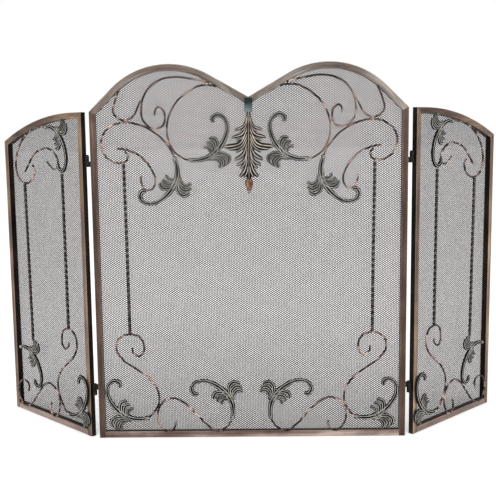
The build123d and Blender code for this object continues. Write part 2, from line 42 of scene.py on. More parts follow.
# ---- sizes of the screen, in millimetres --------------------------------------------
HALF_WIDTH = 343            # centre panel, from its middle to its outer edge
SHOULDER = 727              # outer top corners of the centre panel, and tops of the wings
VALLEY = 754                # dip in the middle of the centre panel's top
HUMP = (171.5, 650.5)       # middle of the right hump's arc, along and up
HUMP_RADIUS = 175
WING_WIDTH = 324
CROWN_RADIUS = 704.6        # arc of a wing's top
CROWN_FLAT = 35             # level stretch of that top beside the hinge
HINGE_GAP = 8.3             # from a stile's side to the hinge axis
AXIS_BACK = 1.2             # hinge axis behind the middle of the bar
FROND_BACK = 6.3            # flat back of the castings, in front of a panel's middle plane
ROD_PLANE = -8.2            # middle of the twisted bars; minus is in front of the middle plane
FOLD = math.radians(45)     # wings folded back at rest

# Places on a panel are (along the panel, behind its middle plane, up).
WING_EDGE = (
    HALF_WIDTH + HINGE_GAP + (HINGE_GAP + AXIS_BACK) * math.cos(FOLD),
    AXIS_BACK + (HINGE_GAP - AXIS_BACK) * math.cos(FOLD),
)
RIGHT_PANEL = (
    Matrix.Translation((WING_EDGE[0] * MM, WING_EDGE[1] * MM, 0)) @ Matrix.Rotation(FOLD, 4, "Z")
)
MIRROR_X = Matrix.Scale(-1, 4, (1, 0, 0))
PANELS = {
    "centre": (Matrix.Identity(4), "centre_panel"),
    "right": (RIGHT_PANEL, "right_panel"),
    "left": (MIRROR_X @ RIGHT_PANEL, "left_panel"),
}


# ---- node helpers -------------------------------------------------------------------
class Wiring:
    """Adds nodes to one tree and joins their sockets."""

    def __init__(self, tree):
        self.tree = tree

    def add(self, kind, inputs=None, **settings):
        node = self.tree.nodes.new(kind)
        for name, value in settings.items():
            setattr(node, name, value)
        for name, value in (inputs or {}).items():
            if isinstance(value, bpy.types.NodeSocket):
                self.tree.links.new(value, node.inputs[name])
            else:
                node.inputs[name].default_value = value
        return node


def colour(red, green, blue):
    """Linear colour from 0-255 display values."""
    return tuple((channel / 255) ** 2.2 for channel in (red, green, blue)) + (1.0,)


def start_material(name):
    material = bpy.data.materials.new(name)
    material.use_nodes = True
    material.node_tree.nodes.clear()
    return material, Wiring(material.node_tree)


def ramp(wiring, factor, stops):
    """Colour ramp through (position, colour) stops."""
    node = wiring.add("ShaderNodeValToRGB", {"Fac": factor})
    elements = node.color_ramp.elements
    while len(elements) < len(stops):
        elements.new(0.5)
    for element, (position, value) in zip(elements, stops):
        element.position = position
        element.color = value
    return node.outputs["Color"]


def grey_ramp(wiring, factor, stops):
    """Ramp through (position, grey) stops, for masks and plain light."""
    return ramp(wiring, factor, [(position, (grey, grey, grey, 1)) for position, grey in stops])


def object_place(wiring):
    """Place in the piece's own frame, so a finish moves with its panel."""
    return wiring.add("ShaderNodeTexCoord").outputs["Object"]


def noise(wiring, vector, scale, detail, roughness, distortion=0.0):
    inputs = {
        "Vector": vector,
        "Scale": scale,
        "Detail": detail,
        "Roughness": roughness,
        "Distortion": distortion,
    }
    return wiring.add("ShaderNodeTexNoise", inputs).outputs["Fac"]


def math_node(wiring, operation, first, second=0.0, third=0.0):
    inputs = {0: first, 1: second, 2: third}
    return wiring.add("ShaderNodeMath", inputs, operation=operation).outputs[0]


def map_range(wiring, value, low, high, to_low=0.0, to_high=1.0):
    inputs = {
        "Value": value, "From Min": low, "From Max": high, "To Min": to_low, "To Max": to_high,
    }
    return wiring.add("ShaderNodeMapRange", inputs).outputs[0]


def mix_colour(wiring, factor, first, second, blend="MIX"):
    node = wiring.add("ShaderNodeMix", data_type="RGBA", blend_type=blend)
    for index, value in ((0, factor), (6, first), (7, second)):
        if isinstance(value, bpy.types.NodeSocket):
            wiring.tree.links.new(value, node.inputs[index])
        else:
            node.inputs[index].default_value = value
    return node.outputs[2]


def mixed(first, second, share):
    """Fixed colour part of the way from one to another."""
    return tuple(a + (b - a) * share for a, b in zip(first, second))


def finish_metal(wiring, base, roughness, metallic, height, bump, depth, specular=0.5):
    """Ends a material: a metal surface, with fine relief from the height value."""
    inputs = {
        "Base Color": base,
        "Roughness": roughness,
        "Metallic": metallic,
        "Specular IOR Level": specular,
    }
    shader = wiring.add("ShaderNodeBsdfPrincipled", inputs)
    relief = wiring.add("ShaderNodeBump", {"Height": height, "Strength": bump, "Distance": depth})
    wiring.tree.links.new(relief.outputs["Normal"], shader.inputs["Normal"])
    wiring.add("ShaderNodeOutputMaterial", {"Surface": shader.outputs[0]})


# ---- finishes -----------------------------------------------------------------------
def antique_bar(name, tones, streaks=(90, 90, 5), turn=0.0, hump=None):
    """Bar with a brushed antique copper face, a pale band on its rounded front edges that is
    partly worn finish and partly a painted highlight, and sides and back coloured near black
    where they turn away from the front.

    tones runs from the darkest to the lightest. turn is how far the bar's panel stands
    round from the centre panel. hump is the middle of an arch that the streaks go round;
    otherwise they run along the axis with the small streak scale.
    """
    material, wiring = start_material(name)
    coordinates = wiring.add("ShaderNodeTexCoord").outputs
    place = coordinates["Object"]
    if hump:
        middle = (-hump[0] * MM, 0, -hump[1] * MM)
        moved = wiring.add("ShaderNodeMapping", {"Vector": place, "Location": middle}).outputs[0]
        parts = wiring.add("ShaderNodeSeparateXYZ", {0: moved}).outputs
        angle = math_node(wiring, "ARCTAN2", parts[0], parts[2])
        upright = math_node(wiring, "MULTIPLY", parts[2], parts[2])
        squares = math_node(wiring, "MULTIPLY_ADD", parts[0], parts[0], upright)
        radius = math_node(wiring, "SQRT", squares)
        ring = wiring.add("ShaderNodeCombineXYZ", {0: angle, 1: parts[1], 2: radius}).outputs[0]
        scaled = {"Vector": ring, "Scale": (1.2, 130, 130)}
    else:
        facing_front = {"Vector": place, "Rotation": (0, 0, -turn)}
        turned_back = wiring.add("ShaderNodeMapping", facing_front).outputs[0]
        scaled = {"Vector": turned_back, "Scale": streaks}
    along = wiring.add("ShaderNodeMapping", scaled).outputs[0]
    brushed = noise(wiring, along, scale=2.2, detail=6.0, roughness=0.6)
    band = noise(wiring, along, scale=0.9, detail=2.0, roughness=0.5)
    drift = noise(wiring, place, scale=9.0, detail=3.0, roughness=0.5, distortion=0.4)
    fleck = noise(wiring, place, scale=260.0, detail=3.0, roughness=0.65)

    drift_share = math_node(wiring, "MULTIPLY", drift, 0.45)
    blended = math_node(wiring, "MULTIPLY_ADD", band, 0.55, drift_share)
    first_stop, stop_span = 0.30, 0.42
    stops = [
        (first_stop + stop_span * k / (len(tones) - 1), tone) for k, tone in enumerate(tones)
    ]
    base = ramp(wiring, blended, stops)
    streak = ramp(wiring, brushed, [(0.36, (0.62, 0.60, 0.59, 1)), (0.66, (1.25, 1.23, 1.2, 1))])
    base = mix_colour(wiring, 0.8, base, streak, "MULTIPLY")
    worn = ramp(wiring, fleck, [(0.34, (0.45, 0.42, 0.40, 1)), (0.44, (1, 1, 1, 1))])
    base = mix_colour(wiring, 0.5, base, worn, "MULTIPLY")

    front = (math.sin(turn), -math.cos(turn), 0)
    facing = wiring.add(
        "ShaderNodeVectorMath", {0: coordinates["Normal"], 1: front}, operation="DOT_PRODUCT"
    ).outputs["Value"]
    # painted highlight: a pale band where the rounded front edges turn part way from the front,
    # partly worn finish and partly light caught on the bevel
    edge_wear_and_highlight = grey_ramp(wiring, facing, [(0.55, 0), (0.78, 0.6), (0.97, 0)])
    base = mix_colour(wiring, edge_wear_and_highlight, base, colour(196, 176, 162))
    # faces turned away from the front, the sides and back, are coloured near black
    face_share = grey_ramp(wiring, facing, [(0.42, 0), (0.72, 1)])
    turned_away_dark = ramp(wiring, drift, [(0.35, colour(24, 20, 18)), (0.7, colour(58, 47, 42))])
    base = mix_colour(wiring, face_share, turned_away_dark, base)
    rough = map_range(wiring, brushed, 0.3, 0.7, 0.34, 0.56)
    finish_metal(wiring, base, rough, metallic=0.7, height=brushed, bump=0.25, depth=0.0003)
    return material


def rubbed_and_highlit_rod(name, dark, light):
    """Dark bronze rod with paler copper patches set at random, partly worn copper showing through
    and partly a painted highlight.
    """
    material, wiring = start_material(name)
    place = object_place(wiring)
    rub = noise(wiring, place, scale=70.0, detail=4.0, roughness=0.6, distortion=0.3)
    grain = noise(wiring, place, scale=900.0, detail=2.0, roughness=0.5)
    # the pale patches are partly worn copper and partly a painted highlight
    base = ramp(wiring, rub, [(0.42, dark), (0.53, mixed(dark, light, 0.2)), (0.66, light)])
    rough = map_range(wiring, rub, 0.3, 0.7, 0.5, 0.33)
    finish_metal(wiring, base, rough, metallic=0.85, height=grain, bump=0.2, depth=0.0002)
    return material


def patina_casting(name, dark, green, rubbed_and_highlight):
    """Near-black cast metal, green-grey on its slopes, and pale along its ridges, partly worn metal
    and partly a painted highlight.
    """
    material, wiring = start_material(name)
    place = object_place(wiring)
    patch = noise(wiring, place, scale=60.0, detail=4.0, roughness=0.6, distortion=0.5)
    pits = noise(wiring, place, scale=700.0, detail=3.0, roughness=0.6)
    ridge = wiring.add("ShaderNodeAttribute", attribute_name="ridge").outputs["Fac"]
    slope = grey_ramp(wiring, ridge, [(0.25, 0), (0.8, 1)])
    tarnish = mix_colour(wiring, patch, mixed(dark, green, 0.3), green)
    base = mix_colour(wiring, slope, dark, tarnish)
    wear_and_highlight = map_range(wiring, patch, 0.36, 0.6, 0.4, 1.0)
    # painted highlight: pale along the crests of the ridges, partly worn metal, in patches
    crest = grey_ramp(wiring, ridge, [(0.56, 0), (0.9, 1)])
    base = mix_colour(wiring, math_node(wiring, "MULTIPLY", crest, wear_and_highlight), base, rubbed_and_highlight)
    finish_metal(
        wiring, base, 0.42, metallic=0.2, height=pits, bump=0.3, depth=0.0003, specular=0.2
    )
    return material


def plain_metal(name, tone, lighter, roughness, metallic, scale=120.0):
    """Even metal finish with a little mottling and grain."""
    material, wiring = start_material(name)
    mottle = noise(wiring, object_place(wiring), scale, detail=4.0, roughness=0.6)
    base = ramp(wiring, mottle, [(0.35, tone), (0.7, lighter)])
    finish_metal(wiring, base, roughness, metallic, height=mottle, bump=0.2, depth=0.0002)
    return material


def collar_metal(name, dark, light, foot, top):
    """Blue-grey plate that turns darker upwards between two heights in metres, foot and top."""
    material, wiring = start_material(name)
    place = object_place(wiring)
    mottle = noise(wiring, place, scale=70.0, detail=4.0, roughness=0.6)
    height = wiring.add("ShaderNodeSeparateXYZ", {0: place}).outputs[2]
    wander = 0.012
    lowered = math_node(wiring, "SUBTRACT", height, wander / 2)
    uneven = math_node(wiring, "MULTIPLY_ADD", mottle, wander, lowered)
    # darker towards the top, between the foot and the top heights
    darker_upwards = map_range(wiring, uneven, foot, top)
    paler_tone = ramp(wiring, mottle, [(0.35, mixed(dark, light, 0.35)), (0.7, light)])
    base = mix_colour(wiring, darker_upwards, paler_tone, dark)
    finish_metal(wiring, base, 0.38, metallic=0.6, height=mottle, bump=0.2, depth=0.0002)
    return material


olive = colour(62, 55, 45)
umber = colour(72, 57, 50)
copper_brown = colour(98, 80, 71)
copper_pink = colour(138, 119, 111)
pale_pink = colour(180, 162, 154)
stone_grey = colour(126, 119, 113)
pale_grey = colour(184, 177, 170)
charcoal = colour(46, 41, 40)
brass_tan = colour(142, 118, 96)
pale_brass = colour(180, 157, 132)

stile_finish = antique_bar("antique_stile", [olive, umber, copper_brown, copper_pink])
arch_left_finish = antique_bar(
    "antique_left_hump", [charcoal, copper_brown, stone_grey, pale_grey], hump=(-HUMP[0], HUMP[1])
)
arch_right_finish = antique_bar("antique_right_hump", [umber, stone_grey, pale_grey], hump=HUMP)
rail_finish = antique_bar(
    "antique_rail", [umber, copper_brown, copper_pink, pale_pink, pale_pink], streaks=(4, 90, 90)
)
wing_finishes = {}
for part, tones, streaks in (
    ("stile", [olive, copper_brown, brass_tan, pale_brass], (90, 90, 5)),
    ("rail", [copper_brown, copper_pink, pale_pink], (5, 90, 90)),
    ("crown", [umber, copper_brown, brass_tan, pale_brass], (6, 90, 60)),
):
    for side, turn in (("left", -FOLD), ("right", FOLD)):
        wing_finishes[side, part] = antique_bar(f"antique_{side}_{part}", tones, streaks, turn)

# the rod's pale colour is partly worn copper and partly a painted highlight
rod_finish = rubbed_and_highlit_rod("rubbed_and_highlit_scroll_rod", colour(38, 31, 30), colour(200, 172, 160))
# the last colour of each casting finish is the pale ridge colour, partly worn metal and partly a
# painted highlight
casting_finish = patina_casting(
    "patina_casting", colour(5, 5, 5), colour(30, 34, 31), colour(226, 221, 212)
)
leaf_finish = patina_casting(
    "pendant_leaf_bronze", colour(5, 4, 4), colour(28, 23, 20), colour(228, 216, 202)
)
iron_finish = plain_metal(
    "black_twisted_iron", colour(40, 36, 35), colour(92, 84, 80), roughness=0.2, metallic=0.95
)
wire_finish = plain_metal(
    "dull_mesh_wire", colour(62, 54, 52), colour(90, 80, 78), roughness=0.5, metallic=0.5,
    scale=45.0,
)
fixing_finish = plain_metal(
    "blackened_fixings", colour(34, 31, 29), colour(64, 58, 54), roughness=0.5, metallic=0.7
)
hinge_finish = plain_metal(
    "black_hinge_steel", colour(18, 17, 16), colour(50, 47, 45), roughness=0.4, metallic=0.8
)
collar_finish = collar_metal(
    "blue_grey_collar", colour(30, 40, 44), colour(128, 142, 148), foot=0.726, top=0.742
)
# the bud's paler mottle is partly worn copper and partly a painted highlight
bud_finish = plain_metal(
    "rubbed_and_highlit_copper_bud", colour(92, 62, 46), colour(184, 156, 136), roughness=0.34, metallic=0.8,
    scale=90.0,
)


# ---- smooth lines and lofted castings -----------------------------------------------
def smooth_line(points, steps):
    """Points along a smooth line through the given ones."""
    points = [Vector(point) for point in points]
    padded = [2 * points[0] - points[1]] + points + [2 * points[-1] - points[-2]]
    made = []
    for before, start, end, after in zip(padded, padded[1:], padded[2:], padded[3:]):
        for step in range(steps):
            t = step / steps
            made.append(
                0.5
                * (
                    2 * start
                    + (end - before) * t
                    + (2 * before - 5 * start + 4 * end - after) * t**2
                    + (3 * start - before - 3 * end + after) * t**3
                )
            )
    made.append(points[-1])
    return made


def spread(values, count):
    """count values spaced evenly along a list of key values."""
    made = []
    for k in range(count):
        place = k * (len(values) - 1) / (count - 1)
        low = min(int(place), len(values) - 2)
        made.append(values[low] + (values[low + 1] - values[low]) * (place - low))
    return made


RIB_STEPS = 6               # points over each rib of a casting's section


def ribbed_section(ribs):
    """Outline of a casting's section, as (across, out, ridge): ribs in front, a flat back."""
    steps = RIB_STEPS * ribs
    section = []
    for j in range(steps + 1):
        across = 1 - 2 * j / steps
        crest = 0.5 - 0.5 * math.cos(2 * math.pi * j / RIB_STEPS)
        swell = math.sqrt(max(0.0, 1 - across**4))
        section.append((across, swell * (0.1 + crest), crest**3))
    for across in (-0.86, -0.35, 0.35, 0.86):
        section.append((across, -0.9, 0.0))
    return section


def join_rings(mesh, rings):
    """Faces between neighbouring rings of vertices, and over the first and the last."""
    around = len(rings[0])
    for one, two in zip(rings, rings[1:]):
        for j in range(around):
            after = (j + 1) % around
            mesh.faces.new((one[j], one[after], two[after], two[j]))
    mesh.faces.new(list(reversed(rings[0])))
    mesh.faces.new(rings[-1])


def loft(mesh, ridge_layer, line, halves, heights, lifts, ribs=1):
    """Closed tapering shape along a flat line, with ridges down its front.

    Lines lie in (x, y) with z towards the viewer. halves and heights are the half width
    and the half thickness at each point, and lifts how far its middle stands out.
    """
    section = ribbed_section(ribs)
    rings = []
    for k, point in enumerate(line):
        ahead = line[min(k + 1, len(line) - 1)] - line[max(k - 1, 0)]
        across = Vector((-ahead.y, ahead.x, 0)).normalized()
        ring = []
        for wide, deep, crest in section:
            raised = Vector((point.x, point.y, lifts[k] + deep * heights[k]))
            vertex = mesh.verts.new(raised + across * (wide * halves[k]))
            vertex[ridge_layer] = crest
            ring.append(vertex)
        rings.append(ring)
    join_rings(mesh, rings)


def blade(count, half, root=0.55):
    """Half widths of a leaf: narrower at its root, widest past its middle, with a blunt tip."""
    widest, rounding, blunt = 0.62, 0.72, 0.5
    made = []
    for k in range(count):
        t = k / (count - 1)
        swell = root + (1 - root) * math.sin(min(1.0, t / widest) * math.pi / 2)
        if t < rounding:
            tip = 1.0
        else:
            fall = (t - rounding) / (1 - rounding)
            tip = blunt + (1 - blunt) * math.sqrt(max(0.0, 1 - fall**2))
        made.append(half * swell * tip)
    made[-1] = made[-2] * 0.5
    return made


# A frond lies in (x, y) from its root, with its stem along +x, in millimetres.
FROND_HOOK = [
    (0, 0), (20, 0), (40, 6), (58, 19), (72, 37), (80, 56), (82, 72), (77, 87), (67, 95),
    (57, 95), (50, 88), (52, 80),
]
FROND_HOOK_HALF = [4.4, 4.9, 6.0, 6.3, 5.8, 4.8, 4.3, 4.2, 4.8, 5.3, 5.3, 3.6]
# points of each lobe from root to tip, and its half width
FROND_LOBES = [
    ([(52, 9), (60, 27), (55, 43), (42, 46)], 5.4),
    ([(46, 7), (52, 22), (48, 34), (36, 37)], 4.8),
    ([(42, 6), (45, 17), (40, 26), (30, 27)], 4.0),
    ([(48, 5), (70, 13), (84, 5), (82, -10)], 5.2),
    ([(46, 2), (64, 7), (76, -3), (73, -16)], 5.2),
    ([(42, 0), (57, 1), (67, -8), (63, -19)], 4.8),
]


def frond_mesh():
    """One casting: grooved stem and hook, lobes that curl back, and two beads at the root."""
    mesh = bmesh.new()
    ridge = mesh.verts.layers.float.new("ridge")
    line = smooth_line([(x, y, 0) for x, y in FROND_HOOK], 5)
    count = len(line)
    heights = spread([2.6, 2.9, 3.2, 3.1, 3.0, 2.9, 2.9, 2.9, 2.7, 2.2], count)
    lifts = spread([3.2, 3.4, 3.7, 3.6, 3.4, 3.3, 3.2, 3.2, 3.4, 3.8], count)
    loft(mesh, ridge, line, spread(FROND_HOOK_HALF, count), heights, lifts, 2)
    for number, (points, half) in enumerate(FROND_LOBES):
        line = smooth_line([(x, y, 0) for x, y in points], 6)
        count = len(line)
        lifts = spread([2.9, 3.9, 4.2 - 0.25 * (number % 3), 3.3], count)
        loft(mesh, ridge, line, blade(count, half), spread([2.5, 2.3, 2.0, 1.5], count), lifts, 2)
    for x, half, height in ((1.5, 5.6, 3.4), (5.0, 5.0, 3.1)):
        bead = [Vector((x + step, 0, 0)) for step in (-1.4, -0.6, 0.6, 1.4)]
        widths = [half - 0.9, half, half, half - 0.9]
        heights = [height - 0.7, height, height, height - 0.7]
        loft(mesh, ridge, bead, widths, heights, [3.3] * 4)
    return mesh


def panel_piece(name, mesh, panel, finish, replaced=(), smooth=True):
    """Finished piece from a mesh in panel millimetres, standing on its panel."""
    place, body = PANELS[panel]
    mesh.transform(place @ Matrix.Scale(MM, 4))
    bmesh.ops.recalc_face_normals(mesh, faces=mesh.faces)
    data = bpy.data.meshes.new(name)
    mesh.to_mesh(data)
    mesh.free()
    data.polygons.foreach_set("use_smooth", [smooth] * len(data.polygons))
    data.materials.append(finish)
    piece = bpy.data.objects.new(name, data)
    bpy.context.collection.objects.link(piece)
    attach(piece, body)
    if replaced:
        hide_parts(*replaced)
    return piece


def set_frond(mesh, root, heading, hand, mirrored=False):
    """Adds a frond to mesh.

    root is in (along, up), heading is the stem's direction in degrees, and hand is 1 when
    the hook turns to the left of the stem and -1 when it turns to the right.
    """
    turn = math.radians(heading)
    along = Vector((math.cos(turn), 0, math.sin(turn)))
    across = Vector((-hand * math.sin(turn), 0, hand * math.cos(turn)))
    if mirrored:
        root, along.x, across.x = (-root[0], root[1]), -along.x, -across.x
    place = Matrix((
        (along.x, across.x, 0, root[0]),
        (0, 0, -1, -FROND_BACK),
        (along.z, across.z, 0, root[1]),
        (0, 0, 0, 1),
    ))
    pattern = frond_mesh()
    pattern.transform(place)
    held = bpy.data.meshes.new("frond_pattern")
    pattern.to_mesh(held)
    pattern.free()
    mesh.from_mesh(held)
    bpy.data.meshes.remove(held)


# root, heading and hand of each frond
centre_fronds = {
    "crest_fronds": ((127.5, 621), 180, -1),
    "shoulder_fronds": ((161, 627), 254, 1),
    "corner_fronds": ((230, 47), -9, 1),
    "base_fronds": ((43, 43), 95, -1),
}
for name, (root, heading, hand) in centre_fronds.items():
    pair = bmesh.new()
    set_frond(pair, root, heading, hand)
    set_frond(pair, root, heading, hand, mirrored=True)
    panel_piece(name + "_cast", pair, "centre", casting_finish, [name])

side_fronds = {
    "crown_frond": ((136, 697), 182, 1),
    "far_frond": ((288, 161), 172, 1),
    "hinge_frond": ((87, 35), 178, -1),
}
for side in ("left", "right"):
    for name, (root, heading, hand) in side_fronds.items():
        single = bmesh.new()
        set_frond(single, root, heading, hand)
        node = f"{side}_{name}"
        panel_piece(node + "_cast", single, side, casting_finish, [node])

# ---- pendant ------------------------------------------------------------------------
# (root, middle, tip, half width) of each leaflet on the right of the rib
PENDANT_LEAFLETS = [
    ((2, 718), (9, 694), (30, 683), 3.4),
    ((2, 712), (6, 692), (19, 679), 3.0),
    ((3, 700), (13, 676), (37, 668), 4.0),
    ((3, 690), (10, 670), (27, 661), 3.2),
    ((3, 684), (19, 655), (53, 648), 5.0),
    ((3, 674), (16, 650), (43, 642), 4.4),
    ((3, 666), (11, 648), (27, 637), 3.6),
    ((3, 655), (12, 632), (30, 620), 4.4),
    ((3, 645), (9, 620), (26, 608), 4.2),
    ((3, 636), (7, 616), (18, 600), 3.4),
    ((3, 620), (9, 598), (20, 583), 4.2),
    ((2, 606), (4, 594), (10, 582), 3.2),
]


def pendant_leaf():
    """Acanthus leaf hanging from the collar: a rib, bright with the finish's painted highlight
    along its crest, with leaflets to each side.
    """
    mesh = bmesh.new()
    ridge = mesh.verts.layers.float.new("ridge")
    for side in (1, -1):
        for k, (root, middle, tip, half) in enumerate(PENDANT_LEAFLETS):
            line = smooth_line([(side * x, z, 0) for x, z in (root, middle, tip)], 7)
            count = len(line)
            lifts = spread([2.9, 3.7, 4.0 + 0.3 * (k % 2), 3.2], count)
            heights = spread([2.7, 2.5, 2.1, 1.4], count)
            loft(mesh, ridge, line, blade(count, half, root=0.6), heights, lifts)
    # up the middle: (heights of the points, half widths, half thicknesses, how far it stands out)
    for ups, halves, heights, lift in (
        ((723, 700, 660, 620, 580), (4, 5, 6, 6, 5.5, 5), (1.6, 1.8, 1.5), 2.4),
        ((724, 690, 640, 579), (2.8, 2.4, 2.0, 1.8), (2.6, 2.4, 2.2), 4.6),
    ):
        line = smooth_line([(0, up, 0) for up in ups], 6)
        count = len(line)
        loft(mesh, ridge, line, spread(halves, count), spread(heights, count), [lift] * count)
    to_front = Matrix(((1, 0, 0, 0), (0, 0, -1, -FROND_BACK), (0, 1, 0, 0), (0, 0, 0, 1)))
    mesh.transform(to_front)
    return mesh


leaf = pendant_leaf()
panel_piece("pendant_leaf_cast", leaf, "centre", leaf_finish, ["pendant_leaf"])


def turned(profile, middle, around=32):
    """Solid of revolution about an upright line, from (radius, height) points."""
    mesh = bmesh.new()
    rings = []
    for radius, height in profile:
        ring = []
        for j in range(around):
            angle = 2 * math.pi * j / around
            x = middle[0] + radius * math.cos(angle)
            y = middle[1] + radius * math.sin(angle)
            ring.append(mesh.verts.new((x, y, height)))
        rings.append(ring)
    join_rings(mesh, rings)
    return mesh


BUD_MIDDLE = (0, -9.55)
BUD_PROFILE = [
    (0.8, 546.2), (1.8, 547.5), (3.6, 552), (5.8, 558), (7.5, 564), (8.3, 568.5),
    (8.5, 571.5), (8.1, 574.5), (7.0, 577.3), (5.2, 579.4), (2.6, 580.4),
]
bud = turned(BUD_PROFILE, BUD_MIDDLE)
panel_piece("pendant_bud_turned", bud, "centre", bud_finish, ["pendant_bud"])


# ---- pieces grown from straight lines -----------------------------------------------
def start_tree(name, values):
    """Geometry tree with named inputs, and the curve of the lines that it is given."""
    tree = bpy.data.node_groups.new(name, "GeometryNodeTree")
    face = tree.interface
    face.new_socket("Geometry", in_out="INPUT", socket_type="NodeSocketGeometry")
    for label, value in values.items():
        socket = face.new_socket(label, in_out="INPUT", socket_type="NodeSocketFloat")
        socket.default_value = value
    face.new_socket("Finish", in_out="INPUT", socket_type="NodeSocketMaterial")
    face.new_socket("Geometry", in_out="OUTPUT", socket_type="NodeSocketGeometry")
    wiring = Wiring(tree)
    given = wiring.add("NodeGroupInput").outputs
    path = wiring.add("GeometryNodeMeshToCurve", {"Mesh": given["Geometry"]}).outputs[0]
    return tree, wiring, given, path


def end_tree(wiring, given, geometry):
    real = wiring.add("GeometryNodeRealizeInstances", {0: geometry}).outputs[0]
    painted = wiring.add("GeometryNodeSetMaterial", {"Geometry": real, "Material": given["Finish"]})
    wiring.add("NodeGroupOutput", {"Geometry": painted.outputs[0]})


def sweep(wiring, path, profile):
    inputs = {"Curve": path, "Profile Curve": profile, "Fill Caps": True}
    return wiring.add("GeometryNodeCurveToMesh", inputs).outputs[0]


def grown(name, lines, panel, tree, values, finish, replaced):
    """Piece that a geometry tree makes from straight lines in panel millimetres."""
    place, _ = PANELS[panel]
    wires = bmesh.new()
    for start, end in lines:
        wires.edges.new((wires.verts.new(start), wires.verts.new(end)))
    wires.transform(Matrix.Scale(MM, 4))
    data = bpy.data.meshes.new(name + "_lines")
    wires.to_mesh(data)
    wires.free()
    source = bpy.data.objects.new(name + "_lines", data)
    bpy.context.collection.objects.link(source)
    modifier = source.modifiers.new("shape", "NODES")
    modifier.node_group = tree
    items = tree.interface.items_tree
    sockets = {item.name: item.identifier for item in items if item.in_out == "INPUT"}
    for key, value in values.items():
        modifier[sockets[key]] = value
    modifier[sockets["Finish"]] = finish
    bpy.context.view_layer.update()
    evaluated = source.evaluated_get(bpy.context.evaluated_depsgraph_get())
    made = bpy.data.meshes.new_from_object(evaluated)
    bpy.data.objects.remove(source)
    mesh = bmesh.new()
    mesh.from_mesh(made)
    mesh.transform(Matrix.Scale(1 / MM, 4))
    bpy.data.meshes.remove(made)
    return panel_piece(name, mesh, panel, finish, replaced, smooth=False)


# ---- twisted bars -------------------------------------------------------------------
def twisted_bar_tree():
    """Sweeps a rounded square along each line and turns it as it goes."""
    tree, wiring, given, path = start_tree("twisted_square_bar", {
        "Bar width": 0.0056, "Twist length": 0.052, "Ring spacing": 0.0026, "Corner radius": 0.0005,
    })
    rings = {"Curve": path, "Length": given["Ring spacing"]}
    resampled = wiring.add("GeometryNodeResampleCurve", rings, mode="LENGTH").outputs[0]
    run = wiring.add("GeometryNodeSplineParameter").outputs["Length"]
    turns = math_node(wiring, "DIVIDE", run, given["Twist length"])
    angle = math_node(wiring, "MULTIPLY", turns, 2 * math.pi)
    tilted = wiring.add("GeometryNodeSetCurveTilt", {"Curve": resampled, "Tilt": angle}).outputs[0]
    sides = {"Width": given["Bar width"], "Height": given["Bar width"]}
    square = wiring.add("GeometryNodeCurvePrimitiveQuadrilateral", sides).outputs[0]
    corners = {"Curve": square, "Radius": given["Corner radius"]}
    rounded = wiring.add("GeometryNodeFilletCurve", corners).outputs[0]
    end_tree(wiring, given, sweep(wiring, tilted, rounded))
    return tree


bar_tree = twisted_bar_tree()
centre_bars = [((270.5, ROD_PLANE, 614.7), (267.5, ROD_PLANE, 240.3))]
centre_bars += [((-x1, y1, z1), (-x2, y2, z2)) for (x1, y1, z1), (x2, y2, z2) in centre_bars]
side_bars = [
    ((235, ROD_PLANE, 564.4), (229, ROD_PLANE, 187)),
    ((76.5, ROD_PLANE, 592), (74.5, ROD_PLANE, 239.8)),
]
for panel, bars in (("centre", centre_bars), ("left", side_bars), ("right", side_bars)):
    grown(
        panel + "_twisted_square_bars", bars, panel, bar_tree, {}, iron_finish,
        [panel + "_twisted_bars"],
    )


# ---- woven mesh ---------------------------------------------------------------------
CLOTH_INSET = 6.2           # ends of the wires inside the frame's outer edge
# straight runs beside a hump: their slope, and their slant length for each mm along
VALLEY_SLOPE, VALLEY_SLANT = 0.606, 1.17
SHOULDER_SLOPE, SHOULDER_SLANT = 0.935, 1.37
HUMP_START, HUMP_END = 92, 292


def centre_roof():
    """Upper edge of the centre panel's mesh, as (x, z) points from right to left."""
    half = HALF_WIDTH - CLOTH_INSET
    radius = HUMP_RADIUS - CLOTH_INSET
    steps = 160
    points = []
    for k in range(steps + 1):
        x = half * k / steps
        from_valley = VALLEY + VALLEY_SLOPE * x - CLOTH_INSET * VALLEY_SLANT
        from_shoulder = SHOULDER + SHOULDER_SLOPE * (HALF_WIDTH - x) - CLOTH_INSET * SHOULDER_SLANT
        top = min(from_valley, from_shoulder)
        if HUMP_START < x < HUMP_END:
            top = min(top, HUMP[1] + math.sqrt(radius**2 - (x - HUMP[0]) ** 2))
        points.append((x, top))
    return [(x, z) for x, z in reversed(points)] + [(-x, z) for x, z in points[1:]]


def side_roof():
    """Upper edge of a side panel's mesh, from the far stile to the hinge."""
    steps = 60
    points = []
    for k in range(steps + 1):
        u = WING_WIDTH - CLOTH_INSET - (WING_WIDTH - 2 * CLOTH_INSET) * k / steps
        past_flat = max(0.0, u - CROWN_FLAT)
        drop = CROWN_RADIUS - math.sqrt(CROWN_RADIUS**2 - past_flat**2)
        points.append((u, SHOULDER - CLOTH_INSET - drop))
    return points


centre_foot = [(CLOTH_INSET - HALF_WIDTH, CLOTH_INSET), (HALF_WIDTH - CLOTH_INSET, CLOTH_INSET)]
side_foot = [(CLOTH_INSET, CLOTH_INSET), (WING_WIDTH - CLOTH_INSET, CLOTH_INSET)]
centre_cloth = centre_foot + centre_roof()
side_cloth = side_foot + side_roof()

SHORTEST_WIRE = 2


